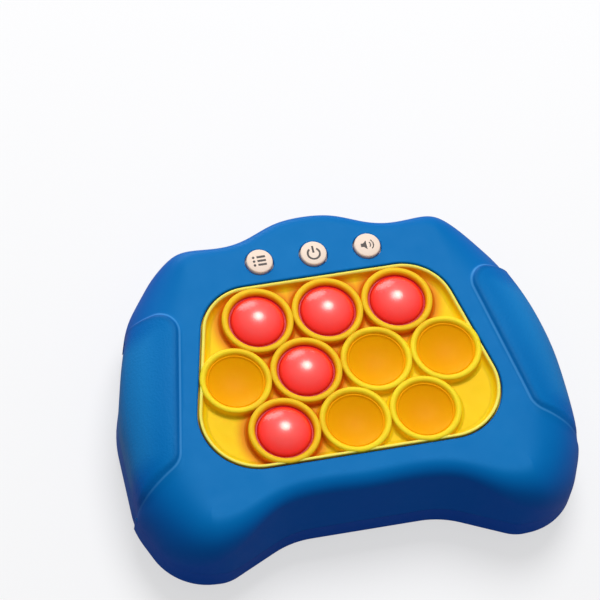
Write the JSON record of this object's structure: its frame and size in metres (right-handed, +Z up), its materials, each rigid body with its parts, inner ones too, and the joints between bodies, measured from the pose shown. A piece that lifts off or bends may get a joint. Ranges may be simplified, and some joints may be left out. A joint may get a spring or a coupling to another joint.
{
  "type": "electronic bubble pop game",
  "caption": "Hand-held pop game: pillow-shaped blue casing with side grips around a yellow silicone mat of raised rings with pop bubbles, and round function buttons above.",
  "frame": {"origin": "on the floor, under the middle of the casing's bounding box, lying on its back", "axes": "+X to the right, +Y to the edge with the three buttons, +Z up out of the bubbles"},
  "size_m": [0.1708, 0.1336, 0.0429],
  "materials": {
    "casing_blue": "satin moulded",
    "mat_yellow": "smooth silicone",
    "bubble_red": "translucent silicone, lit from below",
    "bubble_amber": "translucent silicone",
    "button_cream": "smooth",
    "diffuser_white": "translucent",
    "grid_white": "matte",
    "board_green": "solder mask",
    "part_black": "matte",
    "led_white": "clear resin",
    "screw_steel": "zinc plated",
    "contact_steel": "nickel plated",
    "cell_sleeve": "printed sleeve",
    "cone_paper": "matte"
  },
  "bodies": {
    "casing": {"front_shell": "casing_blue", "rear_shell": "casing_blue", "bubble_mat": "mat_yellow", "light_grid": "grid_white", "circuit_board": "board_green", "switch_bodies": "part_black", "leds": "led_white", "controller_chip": "part_black", "case_screws": "screw_steel", "cells": "cell_sleeve", "battery_contacts": "contact_steel", "speaker_frame": "part_black", "speaker_cone": "cone_paper", "speaker_magnet": "screw_steel", "speaker_contacts": "contact_steel"},
    "battery_door": {"battery_door": "casing_blue", "door_screw": "screw_steel"},
    "bubble_1": {"bubble_1": "bubble_red"},
    "light_cap_1": {"light_cap_1": "diffuser_white", "bubble_plunger_1": "part_black"},
    "bubble_2": {"bubble_2": "bubble_red"},
    "light_cap_2": {"light_cap_2": "diffuser_white", "bubble_plunger_2": "part_black"},
    "bubble_3": {"bubble_3": "bubble_red"},
    "light_cap_3": {"light_cap_3": "diffuser_white", "bubble_plunger_3": "part_black"},
    "bubble_4": {"bubble_4": "bubble_amber"},
    "light_cap_4": {"light_cap_4": "diffuser_white", "bubble_plunger_4": "part_black"},
    "bubble_5": {"bubble_5": "bubble_red"},
    "light_cap_5": {"light_cap_5": "diffuser_white", "bubble_plunger_5": "part_black"},
    "bubble_6": {"bubble_6": "bubble_amber"},
    "light_cap_6": {"light_cap_6": "diffuser_white", "bubble_plunger_6": "part_black"},
    "bubble_7": {"bubble_7": "bubble_amber"},
    "light_cap_7": {"light_cap_7": "diffuser_white", "bubble_plunger_7": "part_black"},
    "bubble_8": {"bubble_8": "bubble_red"},
    "light_cap_8": {"light_cap_8": "diffuser_white", "bubble_plunger_8": "part_black"},
    "bubble_9": {"bubble_9": "bubble_amber"},
    "light_cap_9": {"light_cap_9": "diffuser_white", "bubble_plunger_9": "part_black"},
    "bubble_10": {"bubble_10": "bubble_amber"},
    "light_cap_10": {"light_cap_10": "diffuser_white", "bubble_plunger_10": "part_black"},
    "menu_button": {"menu_button": "button_cream", "menu_plunger": "part_black"},
    "power_button": {"power_button": "button_cream", "power_plunger": "part_black"},
    "volume_button": {"volume_button": "button_cream", "volume_plunger": "part_black"}
  },
  "joints": [
    {"name": "battery_door_slide", "type": "slide", "parent": "casing", "child": "battery_door", "axis": [0, 0, -1], "range_m": [0, 0.014]},
    {"name": "bubble_1_pop", "type": "slide", "parent": "casing", "child": "bubble_1", "axis": [0, 0, 1], "range_m": [-0.0082, 0]},
    {"name": "light_cap_1_slide", "type": "slide", "parent": "casing", "child": "light_cap_1", "axis": [0, 0, 1], "range_m": [-0.0006, 0]},
    {"name": "bubble_2_pop", "type": "slide", "parent": "casing", "child": "bubble_2", "axis": [0, 0, 1], "range_m": [-0.0082, 0]},
    {"name": "light_cap_2_slide", "type": "slide", "parent": "casing", "child": "light_cap_2", "axis": [0, 0, 1], "range_m": [-0.0006, 0]},
    {"name": "bubble_3_pop", "type": "slide", "parent": "casing", "child": "bubble_3", "axis": [0, 0, 1], "range_m": [-0.0082, 0]},
    {"name": "light_cap_3_slide", "type": "slide", "parent": "casing", "child": "light_cap_3", "axis": [0, 0, 1], "range_m": [-0.0006, 0]},
    {"name": "bubble_4_pop", "type": "slide", "parent": "casing", "child": "bubble_4", "axis": [0, 0, 1], "range_m": [0, 0.0082]},
    {"name": "light_cap_4_slide", "type": "slide", "parent": "casing", "child": "light_cap_4", "axis": [0, 0, 1], "range_m": [0, 0.0006]},
    {"name": "bubble_5_pop", "type": "slide", "parent": "casing", "child": "bubble_5", "axis": [0, 0, 1], "range_m": [-0.0082, 0]},
    {"name": "light_cap_5_slide", "type": "slide", "parent": "casing", "child": "light_cap_5", "axis": [0, 0, 1], "range_m": [-0.0006, 0]},
    {"name": "bubble_6_pop", "type": "slide", "parent": "casing", "child": "bubble_6", "axis": [0, 0, 1], "range_m": [0, 0.0082]},
    {"name": "light_cap_6_slide", "type": "slide", "parent": "casing", "child": "light_cap_6", "axis": [0, 0, 1], "range_m": [0, 0.0006]},
    {"name": "bubble_7_pop", "type": "slide", "parent": "casing", "child": "bubble_7", "axis": [0, 0, 1], "range_m": [0, 0.0082]},
    {"name": "light_cap_7_slide", "type": "slide", "parent": "casing", "child": "light_cap_7", "axis": [0, 0, 1], "range_m": [0, 0.0006]},
    {"name": "bubble_8_pop", "type": "slide", "parent": "casing", "child": "bubble_8", "axis": [0, 0, 1], "range_m": [-0.0082, 0]},
    {"name": "light_cap_8_slide", "type": "slide", "parent": "casing", "child": "light_cap_8", "axis": [0, 0, 1], "range_m": [-0.0006, 0]},
    {"name": "bubble_9_pop", "type": "slide", "parent": "casing", "child": "bubble_9", "axis": [0, 0, 1], "range_m": [0, 0.0082]},
    {"name": "light_cap_9_slide", "type": "slide", "parent": "casing", "child": "light_cap_9", "axis": [0, 0, 1], "range_m": [0, 0.0006]},
    {"name": "bubble_10_pop", "type": "slide", "parent": "casing", "child": "bubble_10", "axis": [0, 0, 1], "range_m": [0, 0.0082]},
    {"name": "light_cap_10_slide", "type": "slide", "parent": "casing", "child": "light_cap_10", "axis": [0, 0, 1], "range_m": [0, 0.0006]},
    {"name": "menu_button_press", "type": "slide", "parent": "casing", "child": "menu_button", "axis": [0, 0, 1], "range_m": [-0.0006, 0], "stiffness_N_per_m": 1500, "springref_m": 0.0003},
    {"name": "power_button_press", "type": "slide", "parent": "casing", "child": "power_button", "axis": [0, 0, 1], "range_m": [-0.0006, 0], "stiffness_N_per_m": 1500, "springref_m": 0.0003},
    {"name": "volume_button_press", "type": "slide", "parent": "casing", "child": "volume_button", "axis": [0, 0, 1], "range_m": [-0.0006, 0], "stiffness_N_per_m": 1500, "springref_m": 0.0003}
  ],
  "couplings": [
    {"joint": "light_cap_1_slide", "follows": "bubble_1_pop", "ratio": 0.073171},
    {"joint": "light_cap_2_slide", "follows": "bubble_2_pop", "ratio": 0.073171},
    {"joint": "light_cap_3_slide", "follows": "bubble_3_pop", "ratio": 0.073171},
    {"joint": "light_cap_4_slide", "follows": "bubble_4_pop", "ratio": 0.073171},
    {"joint": "light_cap_5_slide", "follows": "bubble_5_pop", "ratio": 0.073171},
    {"joint": "light_cap_6_slide", "follows": "bubble_6_pop", "ratio": 0.073171},
    {"joint": "light_cap_7_slide", "follows": "bubble_7_pop", "ratio": 0.073171},
    {"joint": "light_cap_8_slide", "follows": "bubble_8_pop", "ratio": 0.073171},
    {"joint": "light_cap_9_slide", "follows": "bubble_9_pop", "ratio": 0.073171},
    {"joint": "light_cap_10_slide", "follows": "bubble_10_pop", "ratio": 0.073171}
  ]
}
